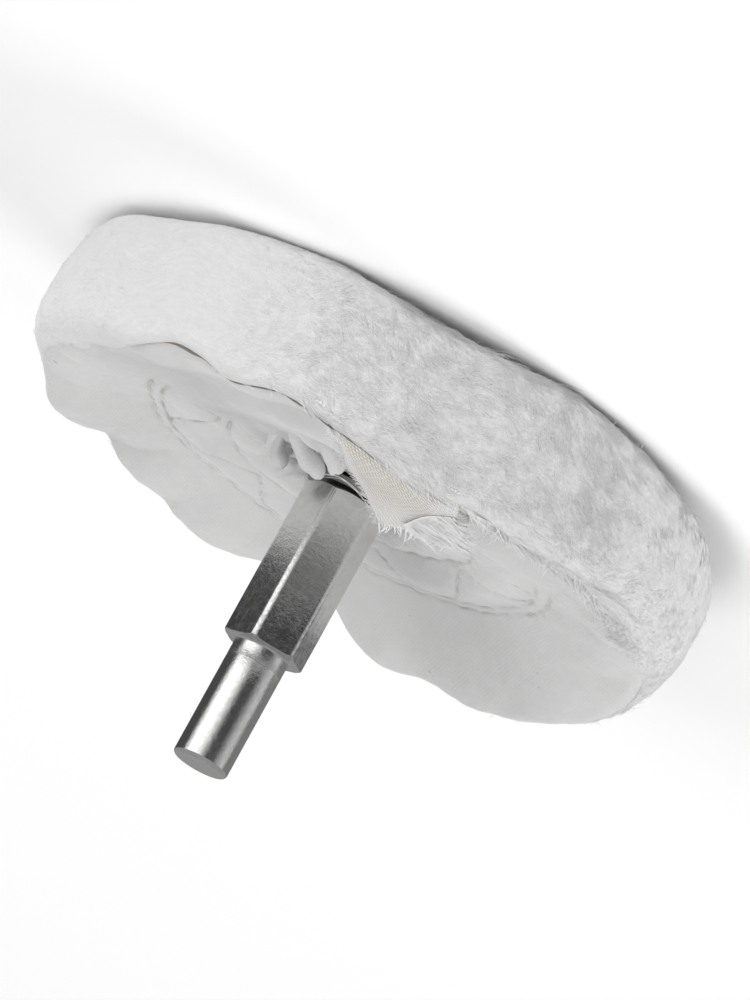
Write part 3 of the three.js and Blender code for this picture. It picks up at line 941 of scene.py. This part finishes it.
def build_flap():
    """The lining's free edge: a raised tongue of plain weave with a rolled side and a frayed end."""
    across, down = 110, 80
    roll_steps, under_steps, bend_steps = 12, 12, 14
    b = np.linspace(0, 1, down)
    main = flap_point(np.linspace(0.0, 1, across)[:, None], b[None])
    side, _, normal = flap_frame(np.zeros(down), b)
    left = -unit(np.cross(normal, np.cross(side, normal)))
    girth = 0.42 * (0.35 + 0.65 * ramp(b, 0, 0.5))[None, :, None]
    turn = np.linspace(math.radians(195), 0, roll_steps, endpoint=False)[:, None, None]
    edge = flap_point(np.zeros(down), b)
    roll = edge[None] + left[None] * girth * np.sin(turn) - normal[None] * girth * (1 - np.cos(turn))
    away = np.linspace(2.4, 0.2, under_steps)[:, None, None]
    under = roll[:1] - left[None] * away - normal[None] * 0.12 * away
    right, _, outward = flap_frame(np.ones(down), b)
    bend = np.linspace(0, math.radians(110), bend_steps + 1)[1:, None, None]
    droop = (0.25 + 1.15 * ramp(b, 0, 0.6))[None, :, None]
    tail = right[None] * np.sin(bend) - outward[None] * (1 - np.cos(bend))
    tail = flap_point(np.ones(down), b)[None] + droop * tail
    points = np.concatenate([under, roll, main, tail])
    points[..., 2] += lumps(points, (0.1, 2.4, 71), (0.15, 5.0, 72))
    rows = len(points)
    piece = add_piece("lining_flap", points, [grid_faces(rows, down)], LINING_COTTON)
    flat = np.zeros(points.shape)
    flat[1:, :, 0] = np.cumsum(np.linalg.norm(np.diff(points, axis=0), axis=-1), axis=0)
    flat[:, 1:, 1] = np.cumsum(np.linalg.norm(np.diff(points, axis=1), axis=-1), axis=1)
    store(piece, "cut", flat)
    from_roll = np.arange(rows)[:, None] - (under_steps + roll_steps)
    whiten = np.maximum(1 - ramp(from_roll, 2, 17), 0.85 * ramp(b, 0.42, 0.85)[None])
    store(piece, "edge", np.maximum(whiten, ramp(from_roll, across * 0.7, across * 0.95)))
    thicken(piece, LINING_THICKNESS)
    return piece, (flat[..., 0].max(), flat[..., 1].max())


# ---- threads and nap

def build_stitches(name, cad_node, radius_at, face):
    """A row of stitches: short sunk lengths of thread that follow the cloth."""
    angles = circle(1440)
    r = radius_at(angles)
    if face == "back":
        path, up = back_surface(r, angles), UP
        sunk = 0.14 + 0.2 * (1 - stitch_show(angles))
    else:
        path, up = polar(r, angles, front_level(r, angles)), -UP
        path[:, 2] += lumps(path, *FRONT_LUMPS)
        sunk = np.full(len(angles), 0.06)
    steps = np.linalg.norm(np.diff(np.vstack([path, path[:1]]), axis=0), axis=1)
    distance = np.concatenate([[0], np.cumsum(steps)])[:-1]
    total = steps.sum()
    count = int(total / (STITCH_LENGTH + STITCH_GAP))
    rings = 9
    arch = 0.13 * np.sin(np.linspace(0, math.pi, rings)) ** 0.5
    spines = []
    for start in np.arange(count) * total / count:
        places = (start + np.linspace(0, STITCH_LENGTH, rings)) % total
        spot = np.stack([np.interp(places, distance, column) for column in path.T], axis=-1)
        spines.append(spot + up * (arch - np.interp(places, distance, sunk))[:, None])
    points, faces = tubes(np.array(spines), np.tile(up, (count, 1)), np.full(count, STITCH_WIDTH), 8, False)
    add_piece(name, points, faces, THREAD, [cad_node])


def build_fringe():
    """Warp threads that have come loose along the flap's free edge."""
    draw = np.random.default_rng(7)
    count, rings = 40, 9
    a = np.clip(np.linspace(-0.02, 1.04, count) + draw.normal(0, 0.009, count), -0.05, 1.1)
    b = np.full(count, 0.97)
    root = flap_point(a, b)
    side, down, normal = flap_frame(np.clip(a, 0, 1), b)
    long = draw.uniform(1.3, 2.5, count) * mix(0.8, 1.15, np.clip(a, 0, 1))
    tall = (draw.random(count) < 0.26) & (a > 0.35)
    long = np.where(tall, draw.uniform(2.4, 3.4, count), long)
    way = down + side * draw.normal(0.05, 0.14, (count, 1)) + normal * draw.normal(0.1, 0.14, (count, 1))
    hook = -side * draw.normal(0.9, 0.5, (count, 1)) + normal * draw.normal(0.1, 0.25, (count, 1))
    spine = [root]
    for ring in range(rings - 1):
        share = ring / (rings - 2)
        spine.append(spine[-1] + unit(way + hook * share**1.6) * (long / (rings - 1))[:, None])
    spine = np.stack(spine, axis=1)
    spine += 0.03 * drift(spine, 0.8, 75)
    points, faces = tubes(spine, normal, draw.uniform(0.13, 0.19, count), 7, True)
    return add_piece("flap_fringe", points, faces, FRAY)


def heading(flow, along, across):
    """Directions turned from the one way towards the other."""
    return np.cos(flow)[:, None] * along + np.sin(flow)[:, None] * across


def tufted(draw, values, size, spread):
    """Gives each tuft's value to all of its hairs, each one a little off it."""
    return np.repeat(values, size) + draw.normal(0, spread, len(values) * size)


def build_fluff():
    """Short fibres along the flap's rolled side, and long soft ones that hide its other side and the lip."""
    draw = np.random.default_rng(55)
    parts = []

    def add(roots, ways, normals, length, width, turn, fall, scale=1.0, bundle=1):
        count = len(roots)
        parts.append((roots, unit(ways), normals, draw.uniform(*length, count) * scale,
                      draw.uniform(*width, count), np.repeat(draw.normal(*turn, count // bundle), bundle),
                      draw.uniform(*fall, count)))

    def spread(size):
        return draw.normal(0, size, (count, 1))

    count = 800
    b = draw.uniform(0.03, 1.0, count)
    side, down, normal = flap_frame(np.zeros(count), b)
    roots = flap_point(np.zeros(count), b) - side * draw.uniform(-1.1, 0.45, (count, 1)) + normal * 0.02
    ways = -side * 0.9 + down * (0.3 + spread(0.5)) + normal * np.abs(0.1 + spread(0.2))
    add(roots, ways, normal, (0.35, 1.0), (0.035, 0.055), (0, 0.6), (0.0, 0.3))

    count = 1300
    a = 1 - 0.6 * draw.random(count) ** 2
    b = np.maximum(draw.uniform(0.25, 1.02, count), 1.25 - a)
    side, down, normal = flap_frame(a, b)
    ways = side + down * (0.5 + spread(0.35)) + normal * np.abs(0.2 + spread(0.15))
    add(flap_point(a, b) + normal * 0.12, ways, normal, (1.2, 3.4), (0.06, 0.09), (0.1, 0.5), (0.3, 0.7))

    bundle, bundles = 22, 110
    count = bundle * bundles
    look_up = surface_sampler((196, 268), 0.9, 0.99)
    angle = tufted(draw, draw.uniform(202, 263, bundles), bundle, 0.55)
    share = tufted(draw, draw.uniform(0.93, 0.982, bundles), bundle, 0.006)
    roots, round_way, up_way, normal = look_up(angle, np.clip(share, 0.9, 0.99))
    flow = rad(tufted(draw, draw.normal(140, 14, bundles), bundle, 7))
    ways = heading(flow, round_way, up_way) + normal * np.abs(0.2 + spread(0.1))
    add(roots, ways, normal, (2.0, 5.0), (0.05, 0.085), (0.15, 0.35), (0.2, 0.4),
        mix(0.6, 1.1, bump_at(angle, 246, 16)), bundle)

    points, faces, lit = hairs(*(np.concatenate(column) for column in zip(*parts)), segments=4)
    return add_piece("flap_fluff", points, faces, FRAY, normals=lit)


def build_crease():
    """A dark tube of painted shade along the crease between the cover's lip and the back face."""
    rings, sides = 160, 6
    angles = np.linspace(-84, -37, rings)
    surface, _ = cover_surface(angles, np.array([0.975, 0.993]))
    spine = surface[:, 1]
    spine[:, 2] = surface[..., 2].max(axis=1) + 0.09 + 0.06 * wobble(spine, 1.6, 230)
    ends = ramp(angles, -84, -76) * (1 - ramp(angles, -42, -37))
    girth = (0.16 + 0.07 * wobble(spine, 2.0, 231)) * ends + 0.01
    turn = rad(circle(sides))[None, :, None]
    out = polar(1.0, angles, 0.0)[:, None]
    tube = spine[:, None] + girth[:, None, None] * (np.cos(turn) * out + np.sin(turn) * UP)
    faces = turned_over([grid_faces(rings, sides, wrap_columns=True)])
    return add_piece("crease_shade_tube", tube, faces, CREASE_SHADE)


def build_strays():
    """Three fine fibres that have blown across the washers, from the folds to the flap."""
    ends = np.array([(3.2, -5.6, 0.44), (1.54, -5.95, -0.2), (-0.63, -6.1, 0.01), (-2.5, -6.6, 0.61)])
    cos, sin = np.cos(rad(VIEW_AZIMUTH)), np.sin(rad(VIEW_AZIMUTH))
    x, y, z = ends.T
    places = (x * cos - y * sin, x * sin + y * cos, z + HEX_END)
    share = np.linspace(0, 3, 30)
    spines = []
    for number in range(3):
        spine = np.stack([hermite(share, np.arange(4.0), column) for column in places], axis=-1)
        spine += 0.28 * drift(spine, 3.0, 210 + 3 * number)
        spine[:, 2] += 0.25 * (number - 1)
        spines.append(spine)
    normals = np.tile([0, -0.5, 0.85], (3, 1))
    points, faces = tubes(np.array(spines), normals, np.array([0.07, 0.045, 0.04]), 6, False)
    return add_piece("stray_fibres", points, faces, FRAY)


def hairs(roots, ways, normals, lengths, widths, turn, fall, segments=3):
    """Fine hairs with three sides and a pointed tip. Each one turns sideways and falls back as it goes."""
    count = len(roots)
    across = np.cross(normals, ways)
    spot, rings = roots, []
    for ring in range(segments + 1):
        rings.append(spot)
        share = ring / segments
        way = unit(ways + across * (turn * share)[:, None] - normals * (fall * share)[:, None])
        spot = spot + way * (lengths / segments)[:, None]
    points, lit = [], []
    for ring in range(segments):
        radius = (widths / 2 * (1 - 0.3 * ring / segments))[:, None]
        for side in range(3):
            angle = 2 * math.pi * side / 3
            out = math.cos(angle) * across + math.sin(angle) * normals
            points.append(rings[ring] + radius * out)
            lit.append(normals + 0.3 * out)
    points.append(rings[segments])
    lit.append(normals)
    per = 3 * segments + 1
    base = np.arange(count)[:, None, None] * per
    quads = grid_faces(segments, 3, wrap_columns=True)
    last = 3 * (segments - 1)
    tips = np.array([[last + j, last + (j + 1) % 3, per - 1] for j in range(3)])
    faces = [(quads[None] + base).reshape(-1, 4), (tips[None] + base).reshape(-1, 3)]
    return np.stack(points, axis=1), faces, unit(np.stack(lit, axis=1))


def surface_sampler(span, low, high):
    """Looks up the cover's surface and its two directions at any (angle, share) inside a patch."""
    angles = np.linspace(span[0] - 2, span[1] + 2, 500)
    shares = np.linspace(low - 0.02, min(high + 0.02, 1.0), 90)
    surface, _ = cover_surface(angles, shares)

    def look_up(angle, share):
        u = np.clip((angle - angles[0]) / (angles[1] - angles[0]), 0, len(angles) - 1.001)
        v = np.clip((share - shares[0]) / (shares[1] - shares[0]), 0, len(shares) - 1.001)
        i, j = u.astype(int), v.astype(int)
        fu, fv = (u - i)[:, None], (v - j)[:, None]
        start = surface[i, j] * (1 - fu) + surface[i + 1, j] * fu
        end = surface[i, j + 1] * (1 - fu) + surface[i + 1, j + 1] * fu
        round_way = unit(surface[i + 1, j] - surface[i, j])
        up_way = unit(surface[i, j + 1] - surface[i, j], 1e-9)
        normal = unit(np.cross(round_way, up_way), 1e-9)
        return start * (1 - fv) + end * fv, round_way, up_way, normal

    return look_up


def smoothness(angle):
    """1 where the nap is worn short and smooth, and 0 where it is long and loose."""
    side = turn_between(angle, -10)
    return ramp(side, -62, -32) * (1 - ramp(side, 40, 90))


def comb_angle(points, angle, share):
    """The way the nap lies: along the rim, in swirls, and across it in one patch by the front edge."""
    loose = 1 - smoothness(angle)
    calm = 1 - 0.6 * bump_round(angle, 205, 34)
    swirl = lumps(points, (30, 8, 81), (16, 3.5, 82)) * (0.35 + 0.65 * loose) * calm
    crossing = bump_round(angle, -108, 13) * bump_at(share, 0.72, 0.045)
    return 178 + swirl - 56 * crossing


def build_nap(name, span, seed, low=0.62, high=0.985, strays=0.02):
    """Hairs combed along the rim between two angles, in loose tufts."""
    draw = np.random.default_rng(seed)
    look_up = surface_sampler(span, low, high)
    tuft, tufts = 10, 650
    count = tuft * tufts
    angle = tufted(draw, draw.uniform(*span, tufts), tuft, 0.75)
    share = tufted(draw, draw.uniform(low, high, tufts), tuft, 0.011)
    loose = 1 - smoothness(angle)
    calm = bump_round(angle, 205, 34)
    keep = (draw.random(count) < mix(0.1, 0.8, loose)) & (share < mix(high, 0.885, far_side(angle)))
    keep &= (share < 0.925) | (pocket(angle) < 0.3)
    roots, round_way, up_way, normal = look_up(angle, np.clip(share, low, high))
    flow = rad(comb_angle(roots, angle, share) + tufted(draw, draw.normal(0, 8, tufts), tuft, 22))
    flat = heading(flow, round_way, up_way)
    lift = np.abs(tufted(draw, draw.normal(0.07, 0.05, tufts), tuft, 0.04))
    lift = lift * mix(0.3, 1.2, loose) * (1 - 0.7 * calm) + 0.02
    lengths = np.repeat(draw.uniform(0.7, 1.3, tufts), tuft) * draw.uniform(0.7, 1.25, count)
    lengths = lengths * mix(0.8, 1.9, loose) * (1 - 0.45 * calm)
    turn = tufted(draw, draw.normal(0, 0.45, tufts), tuft, 0.5) * (1 - 0.5 * calm)
    widths = draw.uniform(0.045, 0.075, count)
    stray = draw.random(count) < strays * (1 - far_side(angle))
    lengths = np.where(stray, lengths * 2.0, lengths)
    lift = np.where(stray, lift + 0.25, lift)
    widths = np.where(stray, 0.045, widths)
    ways = flat + normal * lift[:, None]
    parts = (roots - normal * 0.02, ways, normal, lengths, widths, turn, lift * 1.6 + 0.05)
    points, faces, lit = hairs(*(part[keep] for part in parts))
    return add_piece(name, points, faces, NAP, normals=lit)


def build_back_nap():
    """Hairs that lie over the seam between the cover's lip and the back face, and thin out inwards."""
    draw = np.random.default_rng(97)
    count = 4200
    angle = draw.uniform(-165, -90, count)
    inward = np.abs(draw.normal(0, 2.6, count)) - 2.6
    keep = draw.random(count) < (1 - near_side(angle)) * ramp(angle, -165, -125)
    angle, inward = angle[keep], inward[keep]
    r = rim_radius(angle) - 5.2 - inward
    roots = back_surface(r, angle)
    step = 0.05
    normal = unit(np.cross(back_surface(r + step, angle) - roots, back_surface(r, angle + step) - roots))
    way = unit(back_surface(r, angle - step) - roots)
    flow = rad(30 * wobble(roots, 8, 81) + draw.normal(0, 22, len(r)))
    flat = heading(flow, way, np.cross(normal, way))
    lift = np.abs(draw.normal(0.04, 0.05, len(r))) + 0.02
    lengths = draw.uniform(1.0, 2.6, len(r))
    widths = draw.uniform(0.04, 0.06, len(r))
    turn = draw.normal(0, 0.4, len(r))
    ways = flat + normal * lift[:, None]
    points, faces, lit = hairs(roots + normal * 0.02, ways, normal, lengths, widths, turn, lift * 1.4 + 0.03)
    return add_piece("nap_back", points, faces, NAP, normals=lit)


cover, cover_cut = build_cover()
lining, lining_cut = build_lining()
inner = [build_inner(number) for number in range(1, 9)]
back = build_back()
fingers = build_fingers()
flap, flap_cut = build_flap()
fringe = [build_fringe(), build_fluff(), build_strays()]

ROWS = {
    "inner": lambda angle: INNER_RING + 0 * angle,
    "petal": petal_radius,
    "outer": lambda angle: OUTER_RING + 0 * angle,
}
for face in ("front", "back"):
    for row, radius_at in ROWS.items():
        build_stitches(f"stitches_{row}_{face}", f"stitch_{row}_{face}", radius_at, face)

NAP_PIECES = 6
FIRST_NAP_SEED = 90
nap = [build_back_nap(), build_crease()]
for number in range(NAP_PIECES):
    span = (number * 360 / NAP_PIECES, (number + 1) * 360 / NAP_PIECES)
    nap.append(build_nap(f"nap_{number + 1}", span, FIRST_NAP_SEED + number))
